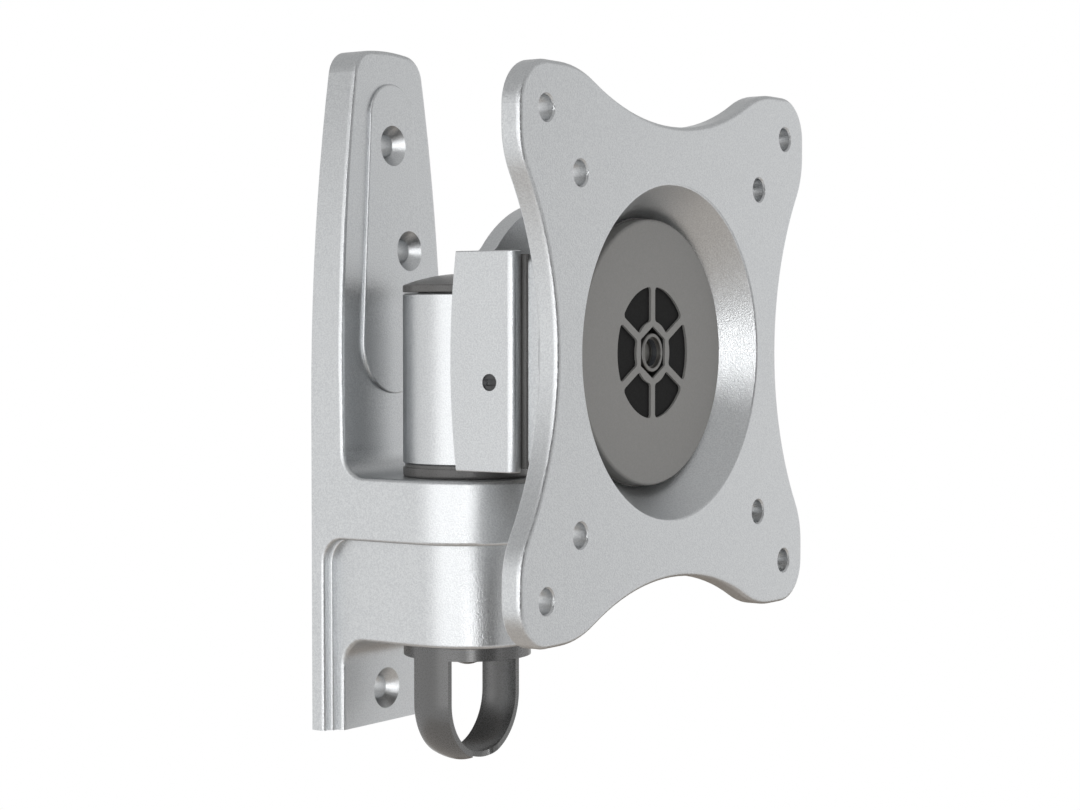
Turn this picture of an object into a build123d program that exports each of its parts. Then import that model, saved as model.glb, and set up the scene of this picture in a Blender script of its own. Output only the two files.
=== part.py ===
from build123d import *
import os

# Swivel wall mount for a small flat screen, in millimetres.
# The origin lies on the wall, under the swivel axis and level with the
# middle of the screen plate. +X is right seen from the front, +Y goes
# into the wall and +Z is up. "reach" values are distances out from the wall.

# screen plate
screen_hole_pitch = 100.0
screen_hole_pitch_small = 75.0
screen_hole_diameter = 5.3
screen_hole_chamfer = 0.35
plate_width = 118.8
plate_height = 119.6
plate_thickness = 4.8
plate_reach = 87.6
plate_corner_radius = 9.6
plate_edge_fillet = 1.1
top_waist_radius = 73.0
top_waist_depth = 10.2
top_waist_blend = 28.0
side_waist_radius = 68.0
side_waist_depth = 13.4
side_waist_blend = 18.0
dish_mouth_radius = 36.9
dish_floor_radius = 29.8
dish_depth = 9.4
dish_floor_thickness = 3.2
dish_outer_radius = 35.4
dish_root_flare = 4.0
dish_mouth_fillet = 0.6
dish_rear_fillet = 1.0
plate_rear_fillet = 0.5
hub_bore_radius = 17.0

# hub disc and the screw in its middle
running_gap = 0.08
hub_flange_radius = 29.4
hub_flange_thickness = 3.7
hub_rear_gap = 0.2
hub_edge_fillet = 0.6
window_outer_radius = 14.6
window_inner_radius = 6.9
window_corner_radius = 0.9
window_count = 6
spoke_width = 1.7
hub_screw_gap = 0.2
centre_screw_recess = 2.0
centre_thread_diameter = 6.0
centre_nut_flats = 10.0
centre_nut_height = 5.0
centre_nut_collar = 2.6
centre_nut_collar_diameter = 8.6
centre_nut_recess = 0.5
centre_insert_wall = 0.8
centre_insert_height = 1.2
centre_lip_wall = 0.4
centre_lip_height = 0.5
hex_corner_chamfer = 0.5
centre_head_flats = 10.0
centre_head_height = 4.0
hex_pocket_gap = 0.08

# friction ring and tilt rocker
friction_ring_thickness = 2.4
friction_ring_radius = 29.0
rocker_top = 21.6
rocker_bottom = -25.0
rocker_corner_radius = 2.5
rocker_flange_thickness = 4.0
rocker_boss_radius = 9.4
rocker_boss_extra = 0.6
rocker_lug_length = 16.3
rocker_lug_root = 16.0
rocker_edge_fillet = 0.4
rocker_side_gap = 0.8
barrel_radius = 4.0

# tilt pivot
pivot_setback = 6.9
pivot_height = -6.2
pivot_screw_diameter = 3.68
pivot_screw_inset = 0.35
pivot_screw_length = 10.5
pivot_slot_width = 1.5
pivot_slot_depth = 1.2
pivot_bush_diameter = 6.0
pivot_bush_length = 8.0
pivot_bore_extra = 0.6
pivot_washer_diameter = 7.6
pivot_washer_gap = 0.2

# yoke of the swivel head
yoke_width = 68.0
yoke_top = 22.1
yoke_bottom = -25.5
yoke_front_gap = 0.7
cheek_thickness = 2.9
cheek_front_fillet = 1.5
cheek_rear_bulge = 1.5
lug_base_gap = 0.6
yoke_base_thickness = 4.3
yoke_crown_radius = 33.8
yoke_crown_flare = 3.5
head_edge_fillet = 0.3

# swivel column
axis_reach = 30.8
column_radius = 15.0
column_top = 13.4
column_bottom = -26.2
column_bore_radius = 11.5
column_web = 8.0
column_edge_chamfer = 0.4
neck_root_half = 19.0
neck_tip_half = 12.0
neck_top = 9.0
neck_bottom = -22.0

# cap on the column
cap_rim_height = 1.6
cap_seat_gap = 0.3
cap_dome_height = 2.8
cap_plug_length = 6.0
cap_plug_wall = 1.6
cap_plug_gap = 0.1
cap_shoulder_fillet = 0.4

# swivel screw stack
swivel_shank_diameter = 8.0
swivel_head_diameter = 13.0
swivel_head_height = 8.0
swivel_socket_flats = 6.0
swivel_socket_depth = 4.0
swivel_washer_diameter = 16.0
swivel_washer_thickness = 1.6
swivel_bush_wall = 1.5
swivel_bush_flange = 1.0
swivel_nut_flats = 13.0
swivel_nut_height = 8.0
disc_spring_thickness = 0.9
disc_spring_cone = 0.35
disc_spring_count = 2
swivel_thread_end = 1.5
shank_gap = 0.05
thread_gap = 0.02
bush_gap = 0.02

# disc between the column and the arm
bearing_disc_thickness = 3.0
bearing_disc_groove = 0.8
bearing_disc_groove_depth = 0.5
bearing_disc_bore_gap = 0.3
bearing_disc_fillet = 0.6

# wall bracket
bracket_half_width = 19.8
bracket_top = 70.0
bracket_bottom = -89.3
bracket_top_half = 12.2
bracket_taper_start = -12.0
bracket_top_crown = 1.2
bracket_top_corner = 6.5
bracket_top_thickness = 7.9
bracket_arm_thickness = 9.6
arm_top_fillet = 5.9
arm_top = column_bottom - bearing_disc_thickness
arm_step = -44.0
arm_bottom = -68.0
side_step = 3.5
strip_thickness = 3.5
lower_plate_thickness = 6.7
step_corner_radius = 5.5
arm_bottom_fillet = 6.0
bracket_edge_fillet = 1.0
step_edge_fillet = 0.8
nut_bore_radius = 10.2
nut_bore_depth = 15.0
pad_height = 0.7
pad_top_radius = 8.2
pad_top_centre = 55.2
pad_bottom_radius = 12.3
pad_bottom_centre = 2.0
pad_edge_fillet = 0.4
wall_hole_diameter = 5.5
wall_hole_head = 9.8
wall_hole_upper = 48.8
wall_hole_middle = 23.9
wall_hole_middle_shift = 5.8
wall_hole_lower = -81.3
wall_hole_lead = 0.1

# cable clip
clip_flange_radius = 14.95
clip_flange_thickness = 2.9
clip_spigot_length = 4.0
clip_spigot_gap = 0.1
clip_spigot_wall = 1.6
clip_leg_width = 9.8
clip_leg_thickness = 1.3
clip_loop_centre = -81.1
clip_tip_radius = 3.0
clip_gap_left = -4.6
clip_gap_right = 2.6
clip_dome_radius = 4.8
clip_dome_drop = 2.6

# places worked out from the sizes above
wall_axis = Axis((0, -axis_reach, 0), (0, 0, 1))
plate_rear_reach = plate_reach - plate_thickness
cap_bottom = column_top + cap_seat_gap
cap_shoulder = cap_bottom + cap_rim_height
cap_crown = cap_shoulder + cap_dome_height
cap_plug_radius = column_bore_radius - cap_plug_gap
dish_floor_reach = plate_reach - dish_depth
dish_rear_reach = dish_floor_reach - dish_floor_thickness
rocker_reach = dish_rear_reach - friction_ring_thickness
hub_reach = dish_floor_reach + hub_flange_thickness
hub_rear_reach = dish_rear_reach + hub_rear_gap
nut_front_reach = hub_reach - centre_nut_recess
nut_seat_reach = nut_front_reach - centre_nut_height
insert_radius = centre_thread_diameter / 2 + centre_insert_wall
insert_reach = nut_front_reach - centre_lip_height
head_seat_reach = rocker_reach - rocker_flange_thickness
rocker_boss_reach = head_seat_reach - centre_head_height - rocker_boss_extra
pivot_reach = head_seat_reach - pivot_setback
yoke_reach = head_seat_reach - yoke_front_gap
yoke_base_front = pivot_reach - barrel_radius - lug_base_gap
cheek_inner = yoke_width / 2 - cheek_thickness
barrel_end = cheek_inner - rocker_side_gap
rocker_lug_inner = barrel_end - rocker_lug_length
yoke_base_reach = yoke_base_front - yoke_base_thickness
web_top = column_bottom + column_web
bush_radius = swivel_shank_diameter / 2 + swivel_bush_wall
washer_seat = web_top + swivel_bush_flange
bolt_seat = washer_seat + swivel_washer_thickness
nut_bore_top = arm_bottom + nut_bore_depth
lower_washer_top = nut_bore_top - swivel_bush_flange
spring_top = lower_washer_top - swivel_washer_thickness
spring_bottom = spring_top - disc_spring_count * (disc_spring_thickness + disc_spring_cone)
swivel_nut_bottom = spring_bottom - swivel_nut_height
bolt_tip = swivel_nut_bottom - swivel_thread_end
clip_flange_bottom = arm_bottom - clip_flange_thickness
clip_spigot_radius = nut_bore_radius - clip_spigot_gap
clip_loop_inner = clip_flange_radius - clip_leg_thickness
bracket_crown = bracket_top + bracket_top_crown
arm_front = axis_reach + bracket_half_width
lower_half_width = bracket_half_width - side_step
lower_arm_front = axis_reach + lower_half_width

os.makedirs("parts", exist_ok=True)


def finish(builder, name):
    """Label a finished piece and write its file."""
    builder.part.label = name
    export_step(builder.part, f"parts/{name}.step")


def hex_radius(flats):
    """Radius over the corners of a hexagon of this size across flats."""
    return flats / 3**0.5


def rim_of(builder, radius, reach):
    """Circular edges with this radius at this reach."""
    circles = builder.edges().filter_by(GeomType.CIRCLE)
    circles = circles.filter_by_position(Axis.Y, -reach - 0.01, -reach + 0.01)
    return circles.filter_by(lambda circle: abs(circle.radius - radius) < 0.01)


# Wall bracket, wide form: the wall plate and the upper part of the arm
with BuildPart() as wide_form:
    with BuildSketch(Plane.YZ) as wide_side:
        with BuildLine():
            Polyline(
                (0, bracket_bottom),
                (0, bracket_crown),
                (-bracket_top_thickness, bracket_crown),
                (-bracket_arm_thickness, arm_top),
                (-arm_front, arm_top),
                (-arm_front, arm_step),
                (-strip_thickness, arm_step),
                (-strip_thickness, bracket_bottom),
                close=True,
            )
        make_face()
        plate_corner = wide_side.vertices().sort_by_distance((-bracket_arm_thickness, arm_top))[0]
        fillet(plate_corner, arm_top_fillet)
        step_corner = wide_side.vertices().sort_by_distance((-strip_thickness, arm_step))[0]
        fillet(step_corner, step_corner_radius)
    extrude(amount=bracket_half_width, both=True)
    with BuildSketch(Plane.XY.offset(bracket_bottom)):
        with Locations((0, -axis_reach / 2)):
            Rectangle(2 * bracket_half_width, axis_reach)
        with Locations((0, -axis_reach)):
            Circle(bracket_half_width)
    extrude(amount=bracket_crown - bracket_bottom, mode=Mode.INTERSECT)
    with BuildSketch(Plane.XZ) as outline:
        with BuildLine():
            left_top = (-bracket_top_half, bracket_top)
            right_top = (bracket_top_half, bracket_top)
            TangentArc((-bracket_half_width, bracket_taper_start), left_top, tangent=(0, 1))
            ThreePointArc(left_top, (0, bracket_crown), right_top)
            TangentArc((bracket_half_width, bracket_taper_start), right_top, tangent=(0, 1))
            Polyline(
                (bracket_half_width, bracket_taper_start),
                (bracket_half_width, bracket_bottom),
                (-bracket_half_width, bracket_bottom),
                (-bracket_half_width, bracket_taper_start),
            )
        make_face()
        fillet(outline.vertices().sort_by(Axis.Y)[-2:], bracket_top_corner)
    extrude(amount=arm_front, mode=Mode.INTERSECT)
    front_rim = wide_form.edges().filter_by_position(Axis.Y, -arm_front - 1, -strip_thickness - 0.5)
    front_rim = front_rim.filter_by(Axis.X, reverse=True)
    outer_rim = front_rim.filter_by_position(Axis.Z, arm_top - 0.1, bracket_crown)
    outer_rim = outer_rim.filter_by(lambda rim: abs(rim.center().Y) > bracket_top_thickness / 2 + 1)
    fillet(outer_rim, bracket_edge_fillet)
    step_rim = wide_form.edges().filter_by_position(Axis.Y, -arm_front - 1, -strip_thickness - 0.5)
    step_rim = step_rim.filter_by(Axis.X, reverse=True)
    step_rim = step_rim.filter_by_position(Axis.Z, arm_step - step_corner_radius, arm_step + 0.1)
    fillet(step_rim, step_edge_fillet)

# Wall bracket, narrow form: the lower part of the arm and the lower wall plate
with BuildPart() as narrow_form:
    with BuildSketch(Plane.YZ) as narrow_side:
        with BuildLine():
            Polyline(
                (-strip_thickness / 2, bracket_bottom),
                (-strip_thickness / 2, arm_top - bracket_edge_fillet - 2),
                (-lower_arm_front, arm_top - bracket_edge_fillet - 2),
                (-lower_arm_front, arm_bottom),
                (-lower_plate_thickness, arm_bottom),
                (-lower_plate_thickness, bracket_bottom),
                close=True,
            )
        make_face()
        bottom_corner = narrow_side.vertices().sort_by_distance((-lower_plate_thickness, arm_bottom))[0]
        fillet(bottom_corner, arm_bottom_fillet)
    extrude(amount=lower_half_width, both=True)
    with BuildSketch(Plane.XY.offset(bracket_bottom)):
        with Locations((0, -axis_reach / 2)):
            Rectangle(2 * lower_half_width, axis_reach)
        with Locations((0, -axis_reach)):
            Circle(lower_half_width)
    extrude(amount=arm_top - bracket_bottom, mode=Mode.INTERSECT)
    lower_rim = narrow_form.edges().filter_by_position(Axis.Y, -arm_front, -lower_plate_thickness + 0.1)
    lower_rim = lower_rim.filter_by(Axis.X, reverse=True)
    lower_rim = lower_rim.filter_by_position(Axis.Z, bracket_bottom - 1, arm_bottom + 0.1)
    fillet(lower_rim, bracket_edge_fillet)

# Wall bracket: the two forms as one casting, with its pad, holes and bores
front_rise = bracket_crown - arm_top
front_lean = bracket_arm_thickness - bracket_top_thickness
front_plane = Plane(
    origin=(0, -bracket_top_thickness, bracket_crown), x_dir=(1, 0, 0), z_dir=(0, -front_rise, front_lean)
)
with BuildPart() as pad:
    with BuildSketch(front_plane.offset(-strip_thickness / 2)):
        with Locations((0, pad_top_centre - bracket_crown)):
            Circle(pad_top_radius)
        with Locations((0, pad_bottom_centre - bracket_crown)):
            Circle(pad_bottom_radius)
        make_hull()
    extrude(amount=strip_thickness / 2 + pad_height)
    fillet(pad.faces().sort_by(Axis.Y)[0].edges(), pad_edge_fillet)


def front_reach(height):
    """Reach of the pad's front face at a height on the wall plate."""
    return bracket_top_thickness + front_lean * (bracket_crown - height) / front_rise + pad_height


with BuildPart() as wall_bracket:
    add(wide_form)
    add(narrow_form)
    add(pad)
    upper_plane = Plane.XZ.offset(front_reach(wall_hole_upper) + wall_hole_lead)
    middle_plane = Plane.XZ.offset(front_reach(wall_hole_middle) + wall_hole_lead)
    lower_plane = Plane.XZ.offset(lower_plate_thickness)
    with Locations(
        upper_plane * Pos(0, wall_hole_upper),
        middle_plane * Pos(wall_hole_middle_shift, wall_hole_middle),
        lower_plane * Pos(0, wall_hole_lower),
    ):
        CounterSinkHole(wall_hole_diameter / 2, wall_hole_head / 2, 2 * bracket_arm_thickness)
    with Locations((0, -axis_reach, arm_top)):
        Hole(bush_radius + bush_gap, arm_top - arm_bottom)
    with BuildSketch(Plane.XY.offset(arm_bottom)):
        with Locations((0, -axis_reach)):
            Circle(nut_bore_radius)
    extrude(amount=nut_bore_depth, mode=Mode.SUBTRACT)
finish(wall_bracket, "wall_bracket")

# Swivel head: column, neck and yoke are one casting
with BuildPart() as swivel_head:
    with BuildSketch(Plane.XY.offset(column_bottom)):
        with Locations((0, -axis_reach)):
            Circle(column_radius)
    extrude(amount=column_top - column_bottom)
    chamfer(swivel_head.edges().filter_by(GeomType.CIRCLE), column_edge_chamfer)
    with BuildSketch(Plane.XY.offset(neck_bottom)):
        with BuildLine():
            Polyline(
                (-neck_root_half, -yoke_base_front),
                (-neck_root_half, -yoke_base_reach),
                (-neck_tip_half, -axis_reach - column_radius / 2),
                (neck_tip_half, -axis_reach - column_radius / 2),
                (neck_root_half, -yoke_base_reach),
                (neck_root_half, -yoke_base_front),
                close=True,
            )
        make_face()
    extrude(amount=neck_top - neck_bottom)
    with BuildSketch(Plane.XZ.offset(yoke_base_reach)) as yoke_outline:
        Circle(yoke_crown_radius)
        with Locations((0, (yoke_top + yoke_bottom) / 2)):
            Rectangle(yoke_width, yoke_top - yoke_bottom)
        with Locations((0, yoke_bottom - yoke_crown_radius)):
            Rectangle(2 * yoke_width, 2 * yoke_crown_radius, mode=Mode.SUBTRACT)
        shoulders = yoke_outline.vertices().filter_by_position(Axis.Y, yoke_top - 0.01, yoke_top + 0.01)
        shoulders = shoulders.filter_by_position(Axis.X, -cheek_inner, cheek_inner)
        fillet(shoulders, yoke_crown_flare)
    extrude(amount=yoke_base_thickness)
    with BuildSketch(Plane.YZ.offset(cheek_inner), Plane.YZ.offset(-yoke_width / 2)):
        with BuildLine():
            SagittaArc((-yoke_base_reach, yoke_bottom), (-yoke_base_reach, yoke_top), -cheek_rear_bulge)
            Polyline(
                (-yoke_base_reach, yoke_top),
                (-yoke_reach, yoke_top),
                (-yoke_reach, yoke_bottom),
                (-yoke_base_reach, yoke_bottom),
            )
        make_face()
    extrude(amount=cheek_thickness)
    cheek_fronts = swivel_head.edges().filter_by(Axis.Z)
    cheek_fronts = cheek_fronts.filter_by_position(Axis.Y, -yoke_reach - 0.1, -yoke_reach + 0.1)
    fillet(cheek_fronts.group_by(Axis.X)[0] + cheek_fronts.group_by(Axis.X)[-1], cheek_front_fillet)
    for side in (-1, 1):
        outer_face = swivel_head.faces().filter_by(Axis.X).sort_by(Axis.X)[-1 if side > 0 else 0]
        outer_rim = outer_face.edges().filter_by_position(Axis.Y, -yoke_reach, -yoke_base_front - 0.5)
        fillet(outer_rim.filter_by(Axis.Y), head_edge_fillet)
    with Locations((0, -axis_reach, column_top)):
        Hole(column_bore_radius, column_top - web_top)
        Hole(bush_radius + bush_gap, column_top - column_bottom)
    with Locations(Plane.YZ.offset(yoke_width / 2) * Pos(-pivot_reach, pivot_height)):
        Hole(pivot_screw_diameter / 2 + thread_gap, yoke_width)
finish(swivel_head, "swivel_head")

# Cap that closes the column
with BuildPart() as top_cap:
    with BuildSketch(Plane.XZ.offset(axis_reach)) as cap_profile:
        with BuildLine():
            Polyline(
                (-column_radius, cap_shoulder),
                (-column_radius, cap_bottom),
                (column_radius, cap_bottom),
                (column_radius, cap_shoulder),
            )
            ThreePointArc((-column_radius, cap_shoulder), (0, cap_crown), (column_radius, cap_shoulder))
        make_face()
        fillet(cap_profile.vertices().sort_by(Axis.Y)[-2:], cap_shoulder_fillet)
        with Locations((-column_radius, (cap_bottom + cap_crown) / 2)):
            Rectangle(2 * column_radius, cap_crown, mode=Mode.SUBTRACT)
    revolve(axis=wall_axis)
    with BuildSketch(Plane.XY.offset(cap_bottom)):
        with Locations((0, -axis_reach)):
            Circle(cap_plug_radius)
            Circle(cap_plug_radius - cap_plug_wall, mode=Mode.SUBTRACT)
    extrude(amount=-cap_plug_length)
finish(top_cap, "top_cap")

# Bearing disc that the column turns on, with a shadow groove under the column
with BuildPart() as bearing_disc:
    with BuildSketch(Plane.XY.offset(arm_top)):
        with Locations((0, -axis_reach)):
            Circle(column_radius)
    extrude(amount=bearing_disc_thickness - bearing_disc_groove)
    fillet(bearing_disc.edges().filter_by(GeomType.CIRCLE).sort_by(Axis.Z)[0], bearing_disc_fillet)
    with BuildSketch(Plane.XY.offset(column_bottom)):
        with Locations((0, -axis_reach)):
            Circle(column_radius - bearing_disc_groove_depth)
    extrude(amount=-bearing_disc_groove)
    with Locations((0, -axis_reach, column_bottom)):
        Hole(swivel_shank_diameter / 2 + bearing_disc_bore_gap, bearing_disc_thickness)
finish(bearing_disc, "bearing_disc")

# Swivel screw stack, from the socket head down to the lock nut
with BuildPart() as swivel_bolt:
    with BuildSketch(Plane.XY.offset(bolt_seat)):
        with Locations((0, -axis_reach)):
            Circle(swivel_head_diameter / 2)
    extrude(amount=swivel_head_height)
    chamfer(swivel_bolt.edges().filter_by(GeomType.CIRCLE).sort_by(Axis.Z)[-1], hex_corner_chamfer)
    with BuildSketch(Plane.XY.offset(bolt_seat + swivel_head_height)):
        with Locations((0, -axis_reach)):
            RegularPolygon(hex_radius(swivel_socket_flats), 6)
    extrude(amount=-swivel_socket_depth, mode=Mode.SUBTRACT)
    with BuildSketch(Plane.XY.offset(bolt_seat)):
        with Locations((0, -axis_reach)):
            Circle(swivel_shank_diameter / 2)
    extrude(amount=bolt_tip - bolt_seat)
    chamfer(swivel_bolt.edges().filter_by(GeomType.CIRCLE).sort_by(Axis.Z)[0], hex_corner_chamfer)
finish(swivel_bolt, "swivel_bolt")

with BuildPart() as thrust_washer:
    with BuildSketch(Plane.XY.offset(washer_seat)):
        with Locations((0, -axis_reach)):
            Circle(swivel_washer_diameter / 2)
            Circle(swivel_shank_diameter / 2 + shank_gap, mode=Mode.SUBTRACT)
    extrude(amount=swivel_washer_thickness)
finish(thrust_washer, "thrust_washer")

with BuildPart() as upper_bush:
    with BuildSketch(Plane.XY.offset(column_bottom)):
        with Locations((0, -axis_reach)):
            Circle(bush_radius)
    extrude(amount=column_web)
    with BuildSketch(Plane.XY.offset(web_top)):
        with Locations((0, -axis_reach)):
            Circle(swivel_washer_diameter / 2)
    extrude(amount=swivel_bush_flange)
    with Locations((0, -axis_reach, washer_seat)):
        Hole(swivel_shank_diameter / 2 + shank_gap, column_web + swivel_bush_flange)
finish(upper_bush, "upper_bush")

with BuildPart() as lower_bush:
    with BuildSketch(Plane.XY.offset(arm_top)):
        with Locations((0, -axis_reach)):
            Circle(bush_radius)
    extrude(amount=nut_bore_top - arm_top)
    with BuildSketch(Plane.XY.offset(nut_bore_top)):
        with Locations((0, -axis_reach)):
            Circle(swivel_washer_diameter / 2)
    extrude(amount=-swivel_bush_flange)
    with Locations((0, -axis_reach, arm_top)):
        Hole(swivel_shank_diameter / 2 + shank_gap, arm_top - lower_washer_top)
finish(lower_bush, "lower_bush")

with BuildPart() as lower_washer:
    with BuildSketch(Plane.XY.offset(spring_top)):
        with Locations((0, -axis_reach)):
            Circle(swivel_washer_diameter / 2)
            Circle(swivel_shank_diameter / 2 + shank_gap, mode=Mode.SUBTRACT)
    extrude(amount=swivel_washer_thickness)
finish(lower_washer, "lower_washer")

# Two disc springs, set mouth to mouth, that keep the swivel stiff
spring_bore = swivel_shank_diameter / 2 + shank_gap
spring_rim = swivel_washer_diameter / 2
spring_middle = (spring_top + spring_bottom) / 2
with BuildPart() as upper_spring:
    with BuildSketch(Plane.XZ.offset(axis_reach)):
        with BuildLine():
            Polyline(
                (spring_bore, spring_top),
                (spring_rim, spring_top - disc_spring_cone),
                (spring_rim, spring_middle),
                (spring_bore, spring_middle + disc_spring_cone),
                close=True,
            )
        make_face()
    revolve(axis=wall_axis)
finish(upper_spring, "upper_spring")

with BuildPart() as lower_spring:
    add(upper_spring.part.mirror(Plane.XY.offset(spring_middle)))
finish(lower_spring, "lower_spring")

with BuildPart() as swivel_nut:
    with BuildSketch(Plane.XY.offset(swivel_nut_bottom)):
        with Locations((0, -axis_reach)):
            Circle(hex_radius(swivel_nut_flats))
    extrude(amount=swivel_nut_height)
    chamfer(swivel_nut.edges().filter_by(GeomType.CIRCLE), hex_corner_chamfer)
    with BuildSketch(Plane.XY.offset(swivel_nut_bottom)):
        with Locations((0, -axis_reach)):
            RegularPolygon(hex_radius(swivel_nut_flats), 6)
    extrude(amount=swivel_nut_height, mode=Mode.INTERSECT)
    with Locations((0, -axis_reach, spring_bottom)):
        Hole(swivel_shank_diameter / 2 + thread_gap, swivel_nut_height)
finish(swivel_nut, "swivel_nut")

# Cable clip that plugs into the bottom of the arm: a strip of a round-ended shell, open at the bottom
with BuildPart() as cable_clip:
    with BuildSketch(Plane.XZ.offset(axis_reach)):
        with BuildLine():
            Line((clip_flange_radius, clip_flange_bottom), (clip_flange_radius, clip_loop_centre))
            CenterArc((0, clip_loop_centre), clip_flange_radius, 0, -90)
            Line((0, clip_loop_centre - clip_flange_radius), (0, clip_loop_centre - clip_loop_inner))
            CenterArc((0, clip_loop_centre), clip_loop_inner, -90, 90)
            Line((clip_loop_inner, clip_loop_centre), (clip_loop_inner, clip_flange_bottom))
            Line((clip_loop_inner, clip_flange_bottom), (clip_flange_radius, clip_flange_bottom))
        make_face()
    revolve(axis=wall_axis)
    with BuildSketch(Plane.XY.offset(clip_flange_bottom)) as loop_halves:
        with Locations((clip_gap_left, -axis_reach)):
            Rectangle(clip_flange_radius, clip_leg_width, align=(Align.MAX, Align.CENTER))
        with Locations((clip_gap_right, -axis_reach)):
            Rectangle(clip_flange_radius, clip_leg_width, align=(Align.MIN, Align.CENTER))
        tips = loop_halves.vertices().filter_by_position(Axis.X, clip_gap_right - 0.01, clip_gap_right + 0.01)
        fillet(tips.sort_by(Axis.Y)[0], clip_tip_radius)
    extrude(amount=-2 * clip_flange_radius, mode=Mode.INTERSECT)
    with BuildSketch(Plane.XY.offset(clip_flange_bottom)):
        with Locations((0, -axis_reach)):
            Circle(clip_flange_radius)
    extrude(amount=clip_flange_thickness)
    with BuildSketch(Plane.XY.offset(arm_bottom)):
        with Locations((0, -axis_reach)):
            Circle(clip_spigot_radius)
            Circle(clip_spigot_radius - clip_spigot_wall, mode=Mode.SUBTRACT)
    extrude(amount=clip_spigot_length)
    with BuildSketch(Plane.XZ.offset(axis_reach)):
        with BuildLine():
            dome_left = (-clip_dome_radius, clip_flange_bottom)
            dome_right = (clip_dome_radius, clip_flange_bottom)
            ThreePointArc(dome_left, (0, clip_flange_bottom - clip_dome_drop), dome_right)
            Line(dome_left, dome_right)
        make_face()
        with Locations((-clip_dome_radius, clip_flange_bottom)):
            Rectangle(2 * clip_dome_radius, 2 * clip_dome_drop, mode=Mode.SUBTRACT)
    revolve(axis=wall_axis)
finish(cable_clip, "cable_clip")

# Tilt rocker: flange, boss for the middle screw, and two lugs on the tilt axis
with BuildPart() as tilt_rocker:
    with BuildSketch(Plane.XZ.offset(head_seat_reach)):
        with Locations((0, (rocker_top + rocker_bottom) / 2)):
            RectangleRounded(2 * barrel_end, rocker_top - rocker_bottom, rocker_corner_radius)
    extrude(amount=rocker_flange_thickness)
    fillet(tilt_rocker.faces().filter_by(Axis.Y).edges(), rocker_edge_fillet)
    with BuildSketch(Plane.XZ.offset(head_seat_reach)):
        Circle(rocker_boss_radius)
    extrude(amount=rocker_boss_reach - head_seat_reach)
    with BuildSketch(Plane.YZ.offset(rocker_lug_inner), Plane.YZ.offset(-barrel_end)):
        with Locations((-pivot_reach, pivot_height)):
            Circle(barrel_radius)
        with Locations((-head_seat_reach - rocker_flange_thickness / 4, pivot_height)):
            Rectangle(rocker_flange_thickness / 2, rocker_lug_root)
        make_hull()
    extrude(amount=barrel_end - rocker_lug_inner)
    with BuildSketch(Plane.XZ.offset(head_seat_reach)):
        RegularPolygon(hex_radius(centre_head_flats) + hex_pocket_gap, 6, rotation=30)
    extrude(amount=rocker_boss_reach - head_seat_reach, mode=Mode.SUBTRACT)
    with Locations(Plane.XZ.offset(rocker_reach)):
        Hole(centre_thread_diameter / 2 + hub_screw_gap, rocker_flange_thickness)
    pivot_bore_depth = pivot_bush_length + pivot_bore_extra
    with Locations(Plane.YZ.offset(barrel_end) * Pos(-pivot_reach, pivot_height)):
        Hole(pivot_bush_diameter / 2 + bush_gap, pivot_bore_depth)
    with Locations(Plane.YZ.offset(pivot_bore_depth - barrel_end) * Pos(-pivot_reach, pivot_height)):
        Hole(pivot_bush_diameter / 2 + bush_gap, pivot_bore_depth)
finish(tilt_rocker, "tilt_rocker")

# Tilt pivots: on each side a screw through the cheek, a washer and a bush in the lug
pivot_line = Plane.YZ.shift_origin((0, -pivot_reach, pivot_height))
screw_end = yoke_width / 2 - pivot_screw_inset
with BuildPart() as pivot_screw_right:
    with BuildSketch(pivot_line.offset(screw_end)):
        Circle(pivot_screw_diameter / 2)
    extrude(amount=-pivot_screw_length)
    with BuildSketch(pivot_line.offset(screw_end)):
        Rectangle(pivot_screw_diameter, pivot_slot_width)
    extrude(amount=-pivot_slot_depth, mode=Mode.SUBTRACT)
finish(pivot_screw_right, "pivot_screw_right")

with BuildPart() as pivot_screw_left:
    add(pivot_screw_right.part.mirror(Plane.YZ))
finish(pivot_screw_left, "pivot_screw_left")

with BuildPart() as pivot_bush_right:
    with BuildSketch(pivot_line.offset(barrel_end)):
        Circle(pivot_bush_diameter / 2)
        Circle(pivot_screw_diameter / 2 + shank_gap, mode=Mode.SUBTRACT)
    extrude(amount=-pivot_bush_length)
finish(pivot_bush_right, "pivot_bush_right")

with BuildPart() as pivot_bush_left:
    add(pivot_bush_right.part.mirror(Plane.YZ))
finish(pivot_bush_left, "pivot_bush_left")

with BuildPart() as tilt_washer_right:
    with BuildSketch(pivot_line.offset(barrel_end)):
        Circle(pivot_washer_diameter / 2)
        Circle(pivot_screw_diameter / 2 + shank_gap, mode=Mode.SUBTRACT)
    extrude(amount=rocker_side_gap - pivot_washer_gap)
finish(tilt_washer_right, "tilt_washer_right")

with BuildPart() as tilt_washer_left:
    add(tilt_washer_right.part.mirror(Plane.YZ))
finish(tilt_washer_left, "tilt_washer_left")

# Middle screw with its lock nut, and the friction ring behind the plate
with BuildPart() as centre_bolt:
    with BuildSketch(Plane.XZ.offset(head_seat_reach)):
        Circle(hex_radius(centre_head_flats))
    extrude(amount=-centre_head_height)
    chamfer(centre_bolt.edges().filter_by(GeomType.CIRCLE).sort_by(Axis.Y)[-1], hex_corner_chamfer)
    with BuildSketch(Plane.XZ.offset(head_seat_reach)):
        RegularPolygon(hex_radius(centre_head_flats), 6, rotation=30)
    extrude(amount=-centre_head_height, mode=Mode.INTERSECT)
    with BuildSketch(Plane.XZ.offset(head_seat_reach)):
        Circle(centre_thread_diameter / 2)
    extrude(amount=nut_front_reach - centre_screw_recess - head_seat_reach)
    chamfer(centre_bolt.edges().filter_by(GeomType.CIRCLE).sort_by(Axis.Y)[0], hex_corner_chamfer)
finish(centre_bolt, "centre_bolt")

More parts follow.
